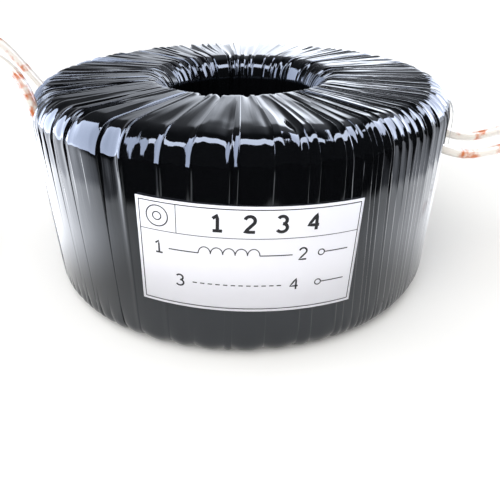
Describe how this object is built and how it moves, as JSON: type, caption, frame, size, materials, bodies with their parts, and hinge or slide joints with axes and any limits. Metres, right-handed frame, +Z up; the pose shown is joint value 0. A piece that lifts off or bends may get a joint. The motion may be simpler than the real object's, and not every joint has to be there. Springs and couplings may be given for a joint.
{
  "type": "toroidal transformer",
  "caption": "Squat ring-shaped mains transformer in a pleated glossy black film wrap, with a paper label on its wall and stiff sleeved copper leads.",
  "frame": {"origin": "centre of the foot, on the surface that the ring stands on", "axes": "+Z up along the ring's axis, -Y towards the label"},
  "size_m": [0.4298, 0.2102, 0.1253],
  "materials": {
    "core_steel": "rolled strip with an oxide coat",
    "pressboard": "calendered",
    "enamelled_wire": "enamelled copper",
    "clear_film": "clear polyester film",
    "black_film": "glossy black polyester film",
    "label_paper": "coated label paper",
    "lead_sleeve": "milky clear sleeve over copper wire",
    "tinned_wire": "dipped tin"
  },
  "bodies": {
    "root": {"steel_core": "core_steel", "core_band_inner": "pressboard", "core_band_outer": "pressboard", "core_end_ring_top": "pressboard", "core_end_ring_bottom": "pressboard", "primary_winding": "enamelled_wire", "primary_film": "clear_film", "secondary_bank_front": "enamelled_wire", "secondary_bank_rear": "enamelled_wire", "secondary_film": "clear_film", "outer_wrap": "black_film", "label": "label_paper", "lead_left_front": "lead_sleeve", "lead_left_rear": "lead_sleeve", "lead_right_front": "lead_sleeve", "lead_right_rear": "lead_sleeve", "lead_left_front_tip": "tinned_wire", "lead_left_rear_tip": "tinned_wire", "lead_right_front_tip": "tinned_wire", "lead_right_rear_tip": "tinned_wire"}
  },
  "joints": []
}
